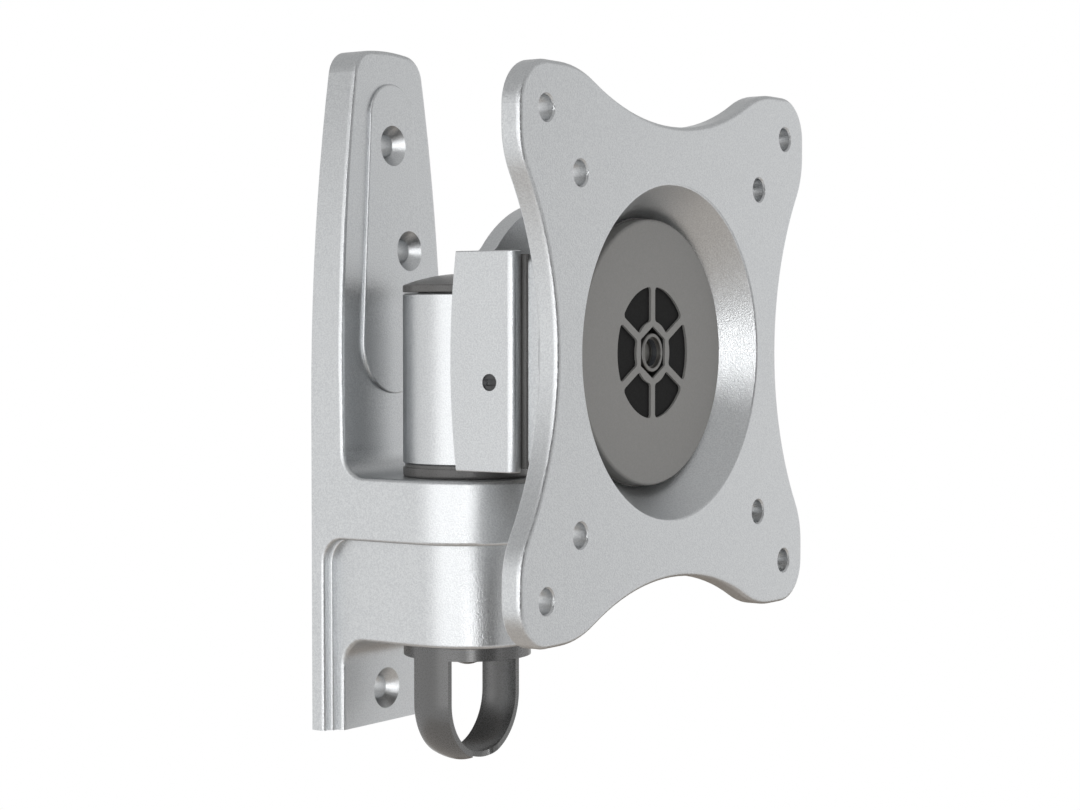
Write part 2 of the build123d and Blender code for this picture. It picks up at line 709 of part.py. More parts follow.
with BuildPart() as centre_nut:
    with BuildSketch(Plane.XZ.offset(nut_seat_reach)):
        Circle(hex_radius(centre_nut_flats))
    extrude(amount=centre_nut_height - centre_nut_collar)
    chamfer(centre_nut.edges().filter_by(GeomType.CIRCLE), hex_corner_chamfer)
    with BuildSketch(Plane.XZ.offset(nut_seat_reach)):
        RegularPolygon(hex_radius(centre_nut_flats), 6, rotation=30)
    extrude(amount=centre_nut_height - centre_nut_collar, mode=Mode.INTERSECT)
    with BuildSketch(Plane.XZ.offset(nut_front_reach)):
        Circle(centre_nut_collar_diameter / 2)
    extrude(amount=-centre_nut_collar)
    fillet(centre_nut.edges().filter_by(GeomType.CIRCLE).sort_by(Axis.Y)[0], hex_corner_chamfer)
    with BuildSketch(Plane.XZ.offset(insert_reach)):
        Circle(insert_radius)
    extrude(amount=-centre_insert_height, mode=Mode.SUBTRACT)
    with BuildSketch(Plane.XZ.offset(nut_front_reach)):
        Circle(centre_thread_diameter / 2 + centre_lip_wall)
    extrude(amount=-centre_lip_height, mode=Mode.SUBTRACT)
    with Locations(Plane.XZ.offset(nut_front_reach)):
        Hole(centre_thread_diameter / 2 + thread_gap, centre_nut_height)
finish(centre_nut, "centre_nut")

with BuildPart() as nut_insert:
    with BuildSketch(Plane.XZ.offset(insert_reach)):
        Circle(insert_radius)
        Circle(centre_thread_diameter / 2 + thread_gap, mode=Mode.SUBTRACT)
    extrude(amount=-centre_insert_height)
finish(nut_insert, "nut_insert")

with BuildPart() as friction_ring:
    with BuildSketch(Plane.XZ.offset(rocker_reach)):
        Circle(friction_ring_radius)
        Circle(centre_thread_diameter / 2 + hub_screw_gap, mode=Mode.SUBTRACT)
    extrude(amount=friction_ring_thickness)
finish(friction_ring, "friction_ring")

# Hub disc: holds the plate against the friction ring, with six windows round the nut
with BuildPart() as hub_disc:
    with BuildSketch(Plane.XZ.offset(dish_floor_reach)):
        Circle(hub_flange_radius)
    extrude(amount=hub_flange_thickness)
    fillet(hub_disc.edges().filter_by(GeomType.CIRCLE).sort_by(Axis.Y)[0], hub_edge_fillet)
    with BuildSketch(Plane.XZ.offset(dish_floor_reach)):
        Circle(hub_bore_radius - running_gap)
    extrude(amount=hub_rear_reach - dish_floor_reach)
    with BuildSketch(Plane.XZ.offset(hub_reach)) as windows:
        Circle(window_outer_radius)
        Circle(window_inner_radius, mode=Mode.SUBTRACT)
        with PolarLocations(0, window_count, start_angle=90):
            Rectangle(2 * window_outer_radius, spoke_width, mode=Mode.SUBTRACT)
        fillet(windows.vertices(), window_corner_radius)
    extrude(amount=hub_rear_reach - hub_reach, mode=Mode.SUBTRACT)
    with BuildSketch(Plane.XZ.offset(hub_reach)):
        RegularPolygon(hex_radius(centre_nut_flats) + hex_pocket_gap, 6, rotation=30)
    extrude(amount=nut_seat_reach - hub_reach, mode=Mode.SUBTRACT)
    with Locations(Plane.XZ.offset(hub_reach)):
        Hole(centre_thread_diameter / 2 + hub_screw_gap, hub_reach - hub_rear_reach)
finish(hub_disc, "hub_disc")

# Screen plate: a casting with waisted sides and a dished middle
with BuildPart() as screen_plate:
    with BuildSketch(Plane.XZ.offset(plate_rear_reach)) as plate_outline:
        Rectangle(plate_width, plate_height)
        top_centre = plate_height / 2 - top_waist_depth + top_waist_radius
        with Locations((0, top_centre), (0, -top_centre)):
            Circle(top_waist_radius, mode=Mode.SUBTRACT)
        side_centre = plate_width / 2 - side_waist_depth + side_waist_radius
        with Locations((side_centre, 0), (-side_centre, 0)):
            Circle(side_waist_radius, mode=Mode.SUBTRACT)
        side_ends = plate_outline.vertices().filter_by(lambda end: abs(end.Y) < plate_height / 2 - 0.01)
        fillet(side_ends, side_waist_blend)
        top_ends = plate_outline.vertices().filter_by(lambda end: abs(end.Y) > plate_height / 2 - 0.01)
        fillet(top_ends.filter_by(lambda end: abs(end.X) < plate_width / 2 - 0.01), top_waist_blend)
        corners = plate_outline.vertices().filter_by(lambda end: abs(end.X) > plate_width / 2 - 0.01)
        fillet(corners.filter_by(lambda end: abs(end.Y) > plate_height / 2 - 0.01), plate_corner_radius)
    extrude(amount=plate_thickness)
    fillet(screen_plate.faces().sort_by(Axis.Y)[0].edges(), plate_edge_fillet)
    fillet(screen_plate.faces().sort_by(Axis.Y)[-1].edges(), plate_rear_fillet)
    with BuildSketch(Plane.XZ.offset(plate_rear_reach)):
        Circle(dish_outer_radius)
    extrude(amount=dish_rear_reach - plate_rear_reach)
    fillet(rim_of(screen_plate, dish_outer_radius, plate_rear_reach), dish_root_flare)
    fillet(rim_of(screen_plate, dish_outer_radius, dish_rear_reach), dish_rear_fillet)
    with BuildSketch(Plane.XY):
        with BuildLine():
            Polyline(
                (0, -plate_reach),
                (dish_mouth_radius, -plate_reach),
                (dish_floor_radius, -dish_floor_reach),
                (0, -dish_floor_reach),
                close=True,
            )
        make_face()
    revolve(axis=Axis.Y, mode=Mode.SUBTRACT)
    fillet(rim_of(screen_plate, dish_mouth_radius, plate_reach), dish_mouth_fillet)
    with Locations(Plane.XZ.offset(dish_floor_reach)):
        Hole(hub_bore_radius, dish_floor_thickness)
    with Locations(Plane.XZ.offset(plate_reach)):
        with GridLocations(screen_hole_pitch, screen_hole_pitch, 2, 2):
            Hole(screen_hole_diameter / 2, plate_thickness)
        with GridLocations(screen_hole_pitch_small, screen_hole_pitch_small, 2, 2):
            Hole(screen_hole_diameter / 2, plate_thickness)
    chamfer(rim_of(screen_plate, screen_hole_diameter / 2, plate_reach), screen_hole_chamfer)
finish(screen_plate, "screen_plate")
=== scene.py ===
import math

import bmesh
import bpy
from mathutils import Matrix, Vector


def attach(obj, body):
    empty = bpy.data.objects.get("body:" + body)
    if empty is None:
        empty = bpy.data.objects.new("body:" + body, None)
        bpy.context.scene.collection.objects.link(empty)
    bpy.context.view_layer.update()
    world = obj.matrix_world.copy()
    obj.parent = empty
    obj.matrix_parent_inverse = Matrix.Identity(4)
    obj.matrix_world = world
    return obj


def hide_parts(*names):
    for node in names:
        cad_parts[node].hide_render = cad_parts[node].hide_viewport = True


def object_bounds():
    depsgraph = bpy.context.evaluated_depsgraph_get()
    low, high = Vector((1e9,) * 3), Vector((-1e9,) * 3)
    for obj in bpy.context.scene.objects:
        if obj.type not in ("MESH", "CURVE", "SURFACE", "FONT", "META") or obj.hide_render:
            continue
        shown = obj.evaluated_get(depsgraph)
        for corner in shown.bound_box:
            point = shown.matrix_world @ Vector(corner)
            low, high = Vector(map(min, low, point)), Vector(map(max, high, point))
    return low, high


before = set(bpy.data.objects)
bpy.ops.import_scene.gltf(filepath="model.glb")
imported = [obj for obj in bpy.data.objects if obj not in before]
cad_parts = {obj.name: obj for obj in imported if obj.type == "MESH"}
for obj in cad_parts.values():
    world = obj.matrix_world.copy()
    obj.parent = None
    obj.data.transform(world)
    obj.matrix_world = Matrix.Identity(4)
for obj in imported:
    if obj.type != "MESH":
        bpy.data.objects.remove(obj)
cadLow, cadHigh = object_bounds()
print("frame loaded,", len(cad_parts), "pieces")

# The mount hangs on its wall, so the floor lies well below it. Lamps and cards
# stand round a point in the middle of its reach. Lengths are in metres.
studio = {
    "floorDrop": 0.42,
    "floorSize": 8.0,
    "floorColour": "#e9e9e8",
    "floorRough": 0.9,
    "roomLight": 0.55,
    "middleReach": 0.045,
}

# The camera stands where the photograph was taken from, as worked out from the
# plate's eight holes. Place and nearest are in metres, view is a direction, and
# lens and sensor are in millimetres.
camera = {
    "place": (-0.43663, -0.35201, 0.00671),
    "view": (0.82324, 0.56657, -0.03571),
    "lens": 77.19,
    "sensor": 36.0,
    "nearest": 0.01,
}


def srgbToLinear(value):
    if value <= 0.04045:
        return value / 12.92
    return ((value + 0.055) / 1.055) ** 2.4


def colour(code):
    parts = [int(code[i:i + 2], 16) / 255 for i in (1, 3, 5)]
    return tuple(srgbToLinear(part) for part in parts) + (1.0,)


def metres(*millimetres):
    return tuple(value / 1000 for value in millimetres)


def perMetre(millimetres):  # noise scale for a pattern of this size
    return 1000.0 / millimetres


def newTree(name):
    material = bpy.data.materials.new(name)
    material.use_nodes = True
    material.node_tree.nodes.clear()
    return material, material.node_tree


# A socket takes a plain value, or a pair of a node and its output to link from.
def addNode(tree, kind, settings=None, sockets=None):
    node = tree.nodes.new(kind)
    for key, value in (settings or {}).items():
        setattr(node, key, value)
    for key, value in (sockets or {}).items():
        if isinstance(value, tuple) and isinstance(value[0], bpy.types.Node):
            tree.links.new(value[0].outputs[value[1]], node.inputs[key])
        else:
            node.inputs[key].default_value = value
    return node


# Silver powder coat on shot-blasted cast aluminium. Metal flakes a few tenths
# of a millimetre wide glint apart, under a faint orange peel. Flake and peel are
# pattern sizes in millimetres, and their depths are in metres.
silverPaint = {
    "pale": "#d1d3d4",
    "deep": "#c0c2c4",
    "rough": (0.3, 0.39),
    "flake": 0.35,
    "flakeDepth": 0.00012,
    "peel": 1.6,
    "peelDepth": 0.00001,
}


def paintedCastAluminium(finish):
    material, tree = newTree("silverPowderCoatedCastAluminium")
    place = addNode(tree, "ShaderNodeTexCoord")
    flake = addNode(tree, "ShaderNodeTexNoise", sockets={
        "Vector": (place, "Object"), "Scale": perMetre(finish["flake"]), "Detail": 2.0, "Roughness": 0.65,
    })
    peel = addNode(tree, "ShaderNodeTexNoise", sockets={
        "Vector": (place, "Object"), "Scale": perMetre(finish["peel"]), "Detail": 1.0,
    })
    tint = addNode(tree, "ShaderNodeMapRange", sockets={
        "Value": (flake, "Fac"), "From Min": 0.38, "From Max": 0.62,
    })
    mix = addNode(tree, "ShaderNodeMix", {"data_type": "RGBA"}, {
        0: (tint, "Result"), 6: colour(finish["deep"]), 7: colour(finish["pale"]),
    })
    rough = addNode(tree, "ShaderNodeMapRange", sockets={
        "Value": (flake, "Fac"), "From Min": 0.35, "From Max": 0.65,
        "To Min": finish["rough"][0], "To Max": finish["rough"][1],
    })
    flakeBump = addNode(tree, "ShaderNodeBump", sockets={
        "Height": (flake, "Fac"), "Strength": 0.5, "Distance": finish["flakeDepth"],
    })
    peelBump = addNode(tree, "ShaderNodeBump", sockets={
        "Height": (peel, "Fac"), "Strength": 0.3, "Distance": finish["peelDepth"],
        "Normal": (flakeBump, "Normal"),
    })
    shader = addNode(tree, "ShaderNodeBsdfPrincipled", sockets={
        "Metallic": 1.0, "Base Color": (mix, 2),
        "Roughness": (rough, "Result"), "Normal": (peelBump, "Normal"),
    })
    addNode(tree, "ShaderNodeOutputMaterial", sockets={"Surface": (shader, "BSDF")})
    return material


# Plastics and fibre, and one near-black sheet that stands in for painted shade. A fine,
# even grain softens their sheen: it comes from the mould on moulded pieces, and is coarser
# on turned acetal. Grain is a pattern size in millimetres, and depth is in metres.
plastics = {
    "darkNylon": {
        "name": "mouldedDarkNylon", "pale": "#646362", "deep": "#575655", "rough": (0.27, 0.35),
        "grain": 0.3, "depth": 0.00002, "ior": 1.53, "sheen": 0.5,
    },
    "clipNylon": {
        "name": "mouldedGlassFilledNylon", "pale": "#4c4c4c", "deep": "#464646", "rough": (0.27, 0.28),
        "grain": 0.3, "depth": 0.0000005, "ior": 1.53, "sheen": 1.0,
    },
    # Painted shade: this plastic turns near black in the hub's windows and nut pocket.
    "hubAbsWithPaintedShade": {
        "name": "greyAbsWithPaintedRecessShade", "pale": "#807f7d", "deep": "#787775", "rough": (0.5, 0.56),
        "grain": 0.28, "depth": 0.000015, "ior": 1.54, "sheen": 0.5, "recessShadeColour": "#0d0d0d",
    },
    "greyFibre": {
        "name": "pressedGreyFrictionFibre", "pale": "#626160", "deep": "#555453", "rough": (0.7, 0.8),
        "grain": 0.35, "depth": 0.00003, "ior": 1.5, "sheen": 0.3,
    },
    "paleAcetal": {
        "name": "turnedPaleAcetal", "pale": "#e2ddd0", "deep": "#d3cdbd", "rough": (0.35, 0.45),
        "grain": 0.5, "depth": 0.00001, "ior": 1.48, "sheen": 0.5,
    },
    # Painted shade: a near-black sheet with almost no sheen, used for the shade inside the hub's windows.
    "windowShade": {
        "name": "blackWindowShadeSheet", "pale": "#2a2a2a", "deep": "#232323", "rough": (0.8, 0.9),
        "grain": 0.3, "depth": 0.00002, "ior": 1.4, "sheen": 0.08,
    },
    "nutNylon": {
        "name": "mouldedNylonInsert", "pale": "#3a3d42", "deep": "#2e3034", "rough": (0.3, 0.4),
        "grain": 0.4, "depth": 0.00001, "ior": 1.53, "sheen": 0.5,
    },
}

# Painted shade: below the hub's face and inside this radius its colour turns near
# black, so the windows and nut pocket look shaded inside. Radius and reach in millimetres.
paintedShadeZone = {"reach": 81.35, "radius": 14.85}


# Painted shade mask: 1 in the windows and the nut pocket, below the hub's face, and 0 elsewhere.
def paintedShadeMask(tree, place):
    split = addNode(tree, "ShaderNodeSeparateXYZ", sockets={"Vector": (place, "Object")})
    flat = addNode(tree, "ShaderNodeCombineXYZ", sockets={"X": (split, "X"), "Z": (split, "Z")})
    radius = addNode(tree, "ShaderNodeVectorMath", {"operation": "LENGTH"}, {0: (flat, "Vector")})
    inside = addNode(tree, "ShaderNodeMath", {"operation": "LESS_THAN"}, {
        0: (radius, "Value"), 1: paintedShadeZone["radius"] / 1000,
    })
    below = addNode(tree, "ShaderNodeMath", {"operation": "GREATER_THAN"}, {
        0: (split, "Y"), 1: -paintedShadeZone["reach"] / 1000,
    })
    return addNode(tree, "ShaderNodeMath", {"operation": "MULTIPLY"}, {
        0: (inside, "Value"), 1: (below, "Value"),
    })


def mouldedPlastic(finish):
    material, tree = newTree(finish["name"])
    place = addNode(tree, "ShaderNodeTexCoord")
    grain = addNode(tree, "ShaderNodeTexNoise", sockets={
        "Vector": (place, "Object"), "Scale": perMetre(finish["grain"]), "Detail": 3.0, "Roughness": 0.6,
    })
    tint = addNode(tree, "ShaderNodeMapRange", sockets={
        "Value": (grain, "Fac"), "From Min": 0.35, "From Max": 0.65,
    })
    mix = addNode(tree, "ShaderNodeMix", {"data_type": "RGBA"}, {
        0: (tint, "Result"), 6: colour(finish["deep"]), 7: colour(finish["pale"]),
    })
    rough = addNode(tree, "ShaderNodeMapRange", sockets={
        "Value": (grain, "Fac"), "From Min": 0.35, "From Max": 0.65,
        "To Min": finish["rough"][0], "To Max": finish["rough"][1],
    })
    bump = addNode(tree, "ShaderNodeBump", sockets={
        "Height": (grain, "Fac"), "Strength": 0.5, "Distance": finish["depth"],
    })
    # Painted shade: where the mask is 1, a near-black colour stands in for the shade in the hub's recesses.
    if "recessShadeColour" in finish:
        mix = addNode(tree, "ShaderNodeMix", {"data_type": "RGBA"}, {
            0: (paintedShadeMask(tree, place), "Value"), 6: (mix, 2), 7: colour(finish["recessShadeColour"]),
        })
    shader = addNode(tree, "ShaderNodeBsdfPrincipled", sockets={
        "Metallic": 0.0, "IOR": finish["ior"], "Specular IOR Level": finish["sheen"],
        "Base Color": (mix, 2), "Roughness": (rough, "Result"), "Normal": (bump, "Normal"),
    })
    addNode(tree, "ShaderNodeOutputMaterial", sockets={"Surface": (shader, "BSDF")})
    return material


# Steel parts, turned or pressed and then zinc plated, blackened, phosphated or
# passivated. The tool leaves fine streaks, and the finish over them is cloudy.
steels = {
    "zinc": {
        "name": "zincPlatedSteel", "pale": "#cfcfc8", "deep": "#b4b3aa", "rough": (0.24, 0.4), "streak": 0.25,
    },
    "black": {
        "name": "blackenedSteel", "pale": "#5a5a5b", "deep": "#434344", "rough": (0.3, 0.45), "streak": 0.25,
    },
    "bolt": {
        "name": "darkPhosphatedScrewSteel", "pale": "#8a8987", "deep": "#7b7a78",
        "rough": (0.42, 0.52), "streak": 0.25,
    },
    "dull": {
        "name": "passivatedScrewSteel", "pale": "#b2b1ad", "deep": "#a2a19d",
        "rough": (0.4, 0.5), "streak": 0.25,
    },
    "spring": {
        "name": "phosphatedSpringSteel", "pale": "#77756f", "deep": "#5d5b56",
        "rough": (0.4, 0.55), "streak": 0.4,
    },
}

# A streak's length, its length over its height, and a cloud's width. Length and
# width are multiples of the steel's own streak size in millimetres.
steelPattern = {
    "length": 4,
    "flatness": 6.0,
    "cloud": 6,
    "depth": 0.00001,
}


def platedSteel(finish):
    material, tree = newTree(finish["name"])
    place = addNode(tree, "ShaderNodeTexCoord")
    stretch = addNode(tree, "ShaderNodeMapping", sockets={
        "Vector": (place, "Object"), "Scale": (1.0, 1.0, steelPattern["flatness"]),
    })
    streak = addNode(tree, "ShaderNodeTexNoise", sockets={
        "Vector": (stretch, "Vector"), "Scale": perMetre(finish["streak"] * steelPattern["length"]),
        "Detail": 3.0,
    })
    cloud = addNode(tree, "ShaderNodeTexNoise", sockets={
        "Vector": (place, "Object"), "Scale": perMetre(finish["streak"] * steelPattern["cloud"]),
        "Detail": 2.0,
    })
    mix = addNode(tree, "ShaderNodeMix", {"data_type": "RGBA"}, {
        0: (cloud, "Fac"), 6: colour(finish["deep"]), 7: colour(finish["pale"]),
    })
    rough = addNode(tree, "ShaderNodeMapRange", sockets={
        "Value": (streak, "Fac"), "From Min": 0.3, "From Max": 0.7,
        "To Min": finish["rough"][0], "To Max": finish["rough"][1],
    })
    bump = addNode(tree, "ShaderNodeBump", sockets={
        "Height": (streak, "Fac"), "Strength": 0.3, "Distance": steelPattern["depth"],
    })
    shader = addNode(tree, "ShaderNodeBsdfPrincipled", sockets={
        "Metallic": 1.0, "Base Color": (mix, 2),
        "Roughness": (rough, "Result"), "Normal": (bump, "Normal"),
    })
    addNode(tree, "ShaderNodeOutputMaterial", sockets={"Surface": (shader, "BSDF")})
    return material


silver = paintedCastAluminium(silverPaint)
plastic = {key: mouldedPlastic(finish) for key, finish in plastics.items()}
steel = {key: platedSteel(finish) for key, finish in steels.items()}

wears = {
    "wall_bracket": silver,
    "swivel_head": silver,
    "screen_plate": silver,
    "tilt_rocker": silver,
    "top_cap": plastic["darkNylon"],
    "bearing_disc": plastic["darkNylon"],
    "cable_clip": plastic["clipNylon"],
    "hub_disc": plastic["hubAbsWithPaintedShade"],
    "friction_ring": plastic["greyFibre"],
    "nut_insert": plastic["nutNylon"],
    "upper_bush": plastic["paleAcetal"],
    "lower_bush": plastic["paleAcetal"],
    "pivot_bush_left": plastic["paleAcetal"],
    "pivot_bush_right": plastic["paleAcetal"],
    "tilt_washer_left": plastic["paleAcetal"],
    "tilt_washer_right": plastic["paleAcetal"],
    "centre_nut": steel["black"],
    "centre_bolt": steel["dull"],
    "swivel_bolt": steel["black"],
    "swivel_nut": steel["zinc"],
    "thrust_washer": steel["zinc"],
    "lower_washer": steel["zinc"],
    "upper_spring": steel["spring"],
    "lower_spring": steel["spring"],
    "pivot_screw_left": steel["black"],
    "pivot_screw_right": steel["black"],
}
for node, material in wears.items():
    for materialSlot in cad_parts[node].material_slots:
        materialSlot.material = material
print("materials on,", len(wears), "pieces dressed")


# Pieces that the frame leaves to the looks. Radii, heights and reaches out from
# the wall are in millimetres, turns in degrees, and steps say how finely a curve
# is cut up.

# The nut is a hexagon with a round collar rolled over its front, and a shallow
# mouth before its bore.
lockNut = {
    "flats": 10.0,
    "sides": 6,
    "turn": 30,
    "seat": 76.4,
    "shoulder": 78.8,
    "front": 81.86,
    "collarRadius": 4.3,
    "rounding": 0.35,
    "lipRadius": 3.42,
    "lipEdge": 0.12,
    "lipDepth": 0.9,
    "bore": 3.04,
    "steps": 72,
    "roundingSteps": 5,
}

# Painted shade: a thin dull grey ring between the hub disc and the dish's floor, standing in for the shade at
# the foot of the hub.
hubShadeRing = {
    "inner": 29.43,
    "outer": 29.77,
    "floor": 78.22,
    "top": 78.6,
    "steps": 144,
}

# Painted shade: a near-black pad inside each of the hub disc's windows, standing in for the shade there.
windowShadeSheet = {
    "count": 6,
    "outer": 14.55,
    "inner": 6.95,
    "spoke": 1.8,
    "corner": 0.85,
    "front": 81.15,
    "back": 80.4,
    "outerSteps": 8,
    "innerSteps": 6,
    "cornerSteps": 5,
}

# A thin ridge along each side of the bracket's lower step.
stepRidge = {
    "inner": 16.0,
    "outer": 18.05,
    "reach": 4.7,
    "thick": 1.7,
    "rounding": 0.45,
    "bottom": -89.3,
    "cornerRadius": 6.0,
    "cornerHeight": -49.9,
    "cornerSteps": 12,
    "roundingSteps": 5,
}

# Painted shade: a dark nylon strip on each side of the rocker, in the slot beside the yoke, standing in for
# the shade there.
slotShadeStrip = {
    "inner": 29.2,
    "outer": 30.6,
    "back": 64.8,
    "front": 69.3,
    "bottom": -24.7,
    "top": 21.3,
    "rounding": 0.2,
    "roundingSteps": 2,
}

sharpAngle = 35  # edges that bend by more degrees than this stay sharp


def addObject(name, data):
    thing = bpy.data.objects.new(name, data)
    bpy.context.collection.objects.link(thing)
    return thing


def newPiece(name, body, material):
    piece = addObject(name, bpy.data.meshes.new(name))
    piece.data.materials.append(material)
    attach(piece, body)
    return piece


# Angles in radians, evenly from first to last in degrees, both ends included.
def anglesBetween(first, last, steps):
    return [math.radians(first + (last - first) * step / steps) for step in range(steps + 1)]


# Walls between two rings of as many points, a face for each pair of neighbours.
def joinRings(build, here, after, smooth):
    for spot in range(len(here)):
        onward = (spot + 1) % len(here)
        face = build.faces.new((here[spot], here[onward], after[onward], after[spot]))
        face.smooth = smooth


# Turns a closed profile of (radius, reach) pairs round the hub's axis. Few steps
# without smooth shading make a prism, such as a hexagon.
def turnProfile(build, profile, steps, turn=0.0, smooth=True):
    rings = []
    for step in range(steps):
        angle = turn + 2 * math.pi * step / steps
        rings.append([
            build.verts.new(metres(radius * math.cos(angle), -reach, radius * math.sin(angle)))
            for radius, reach in profile
        ])
    for here, after in zip(rings, rings[1:] + rings[:1]):
        joinRings(build, here, after, smooth)


def finishMesh(mesh, build):
    bmesh.ops.recalc_face_normals(build, faces=build.faces)
    build.to_mesh(mesh)
    build.free()
    mesh.set_sharp_from_angle(angle=math.radians(sharpAngle))


def hexagonProfile(nut):
    corner = nut["flats"] / math.sqrt(3)
    return [
        (nut["bore"], nut["seat"]), (corner, nut["seat"]),
        (corner, nut["shoulder"]), (nut["bore"], nut["shoulder"]),
    ]


# From the shoulder out, over the rounded rim and down into the mouth.
def collarProfile(nut):
    profile = [(nut["bore"], nut["shoulder"]), (nut["collarRadius"], nut["shoulder"])]
    for angle in anglesBetween(0, 90, nut["roundingSteps"]):
        profile.append((
            nut["collarRadius"] - nut["rounding"] * (1 - math.cos(angle)),
            nut["front"] - nut["rounding"] * (1 - math.sin(angle)),
        ))
    return profile + [
        (nut["lipRadius"] + nut["lipEdge"], nut["front"]),
        (nut["lipRadius"], nut["front"] - nut["lipEdge"]),
        (nut["lipRadius"], nut["front"] - nut["lipDepth"]),
        (nut["bore"], nut["front"] - nut["lipDepth"]),
    ]


def buildLockNut():
    piece = newPiece("lockNut", "rocker", steel["bolt"])
    build = bmesh.new()
    turnProfile(build, hexagonProfile(lockNut), lockNut["sides"], math.radians(lockNut["turn"]), smooth=False)
    turnProfile(build, collarProfile(lockNut), lockNut["steps"])
    finishMesh(piece.data, build)
    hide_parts("centre_nut")


def buildHubShadeRing():
    # Painted shade: a dark ring over the dish's floor round the hub.
    piece = newPiece("hubShadeRing", "rocker", plastic["greyFibre"])
    build = bmesh.new()
    turnProfile(build, [
        (hubShadeRing["inner"], hubShadeRing["floor"]), (hubShadeRing["outer"], hubShadeRing["floor"]),
        (hubShadeRing["outer"], hubShadeRing["top"]), (hubShadeRing["inner"], hubShadeRing["top"]),
    ], hubShadeRing["steps"])
    finishMesh(piece.data, build)


# Half the outline of one window, from its middle line up to a spoke: outer arc,
# rounded corner, straight side, rounded corner and inner arc.
def windowHalf(shadeSheet):
    lean = math.pi / shadeSheet["count"]
    corner = shadeSheet["corner"]
    side = shadeSheet["spoke"] / 2 + corner
    outerSlope = math.asin(side / (shadeSheet["outer"] - corner))
    innerSlope = math.asin(side / (shadeSheet["inner"] + corner))
    points = []

    def addArcPoint(radius, angle):
        points.append((radius * math.cos(angle), radius * math.sin(angle)))

    # Along the spoke's middle line, and across from it towards the window.
    def addSpokePoint(along, across):
        points.append((
            along * math.cos(lean) + across * math.sin(lean),
            along * math.sin(lean) - across * math.cos(lean),
        ))

    def addCorner(centreRadius, first, last):
        middle = math.sqrt(centreRadius ** 2 - side ** 2)
        for angle in anglesBetween(first, last, shadeSheet["cornerSteps"]):
            addSpokePoint(middle + corner * math.cos(angle), side - corner * math.sin(angle))

    for step in range(shadeSheet["outerSteps"]):
        addArcPoint(shadeSheet["outer"], (lean - outerSlope) * step / shadeSheet["outerSteps"])
    addCorner(shadeSheet["outer"] - corner, -math.degrees(outerSlope), 90)
    addCorner(shadeSheet["inner"] + corner, 90, 180 - math.degrees(innerSlope))
    for step in range(shadeSheet["innerSteps"] - 1, 0, -1):
        addArcPoint(shadeSheet["inner"], (lean - innerSlope) * step / shadeSheet["innerSteps"])
    return points


# One near-black shade pad in the window at the right, for the tree to repeat.
def shadeSheetMesh(shadeSheet):
    half = windowHalf(shadeSheet)
    outline = half + [(x, -z) for x, z in reversed(half[1:])]
    build = bmesh.new()
    front = [build.verts.new(metres(x, -shadeSheet["front"], z)) for x, z in outline]
    back = [build.verts.new(metres(x, -shadeSheet["back"], z)) for x, z in outline]
    build.faces.new(front)
    build.faces.new(list(reversed(back)))
    joinRings(build, back, front, smooth=False)
    mesh = bpy.data.meshes.new("windowShadeSheet")
    finishMesh(mesh, build)
    return mesh


# Repeats its input round the hub's axis, evenly, as often as Count says.
def repeatRoundHub(material):
    tree = bpy.data.node_groups.new("repeatRoundHub", "GeometryNodeTree")
    tree.interface.new_socket("Geometry", in_out="INPUT", socket_type="NodeSocketGeometry")
    count = tree.interface.new_socket("Count", in_out="INPUT", socket_type="NodeSocketInt")
    tree.interface.new_socket("Geometry", in_out="OUTPUT", socket_type="NodeSocketGeometry")
    given = addNode(tree, "NodeGroupInput")
    spots = addNode(tree, "GeometryNodePoints", sockets={"Count": (given, "Count")})
    index = addNode(tree, "GeometryNodeInputIndex")
    share = addNode(tree, "ShaderNodeMath", {"operation": "DIVIDE"}, {
        0: (index, "Index"), 1: (given, "Count"),
    })
    angle = addNode(tree, "ShaderNodeMath", {"operation": "MULTIPLY"}, {
        0: (share, "Value"), 1: 2 * math.pi,
    })
    turn = addNode(tree, "ShaderNodeCombineXYZ", sockets={"Y": (angle, "Value")})
    copies = addNode(tree, "GeometryNodeInstanceOnPoints", sockets={
        "Points": (spots, "Points"), "Instance": (given, "Geometry"), "Rotation": (turn, "Vector"),
    })
    real = addNode(tree, "GeometryNodeRealizeInstances", sockets={"Geometry": (copies, "Instances")})
    dressed = addNode(tree, "GeometryNodeSetMaterial", sockets={
        "Geometry": (real, "Geometry"), "Material": material,
    })
    addNode(tree, "NodeGroupOutput", sockets={"Geometry": (dressed, "Geometry")})
    return tree, count.identifier


# Painted shade: six near-black pads stand in for the shade inside the hub's windows.
def buildWindowShadeSheets():
    maker = addObject("windowShadeSheetMaker", shadeSheetMesh(windowShadeSheet))
    tree, countSocket = repeatRoundHub(plastic["windowShade"])
    modifier = maker.modifiers.new("pads", "NODES")
    modifier.node_group = tree
    modifier[countSocket] = windowShadeSheet["count"]
    seen = maker.evaluated_get(bpy.context.evaluated_depsgraph_get())
    mesh = bpy.data.meshes.new_from_object(seen)
    bpy.data.objects.remove(maker)
    piece = addObject("hubWindowShadeSheets", mesh)
    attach(piece, "rocker")


# Reach, height and lean of the ridge: straight up the lower plate, then round
# the corner under the arm.
def ridgePath(ridge):
    path = [(ridge["reach"], ridge["bottom"], 0.0)]
    for angle in anglesBetween(0, 90, ridge["cornerSteps"]):
        path.append((
            ridge["reach"] + ridge["cornerRadius"] * (1 - math.cos(angle)),
            ridge["cornerHeight"] + ridge["cornerRadius"] * math.sin(angle),
            angle,
        ))
    return path


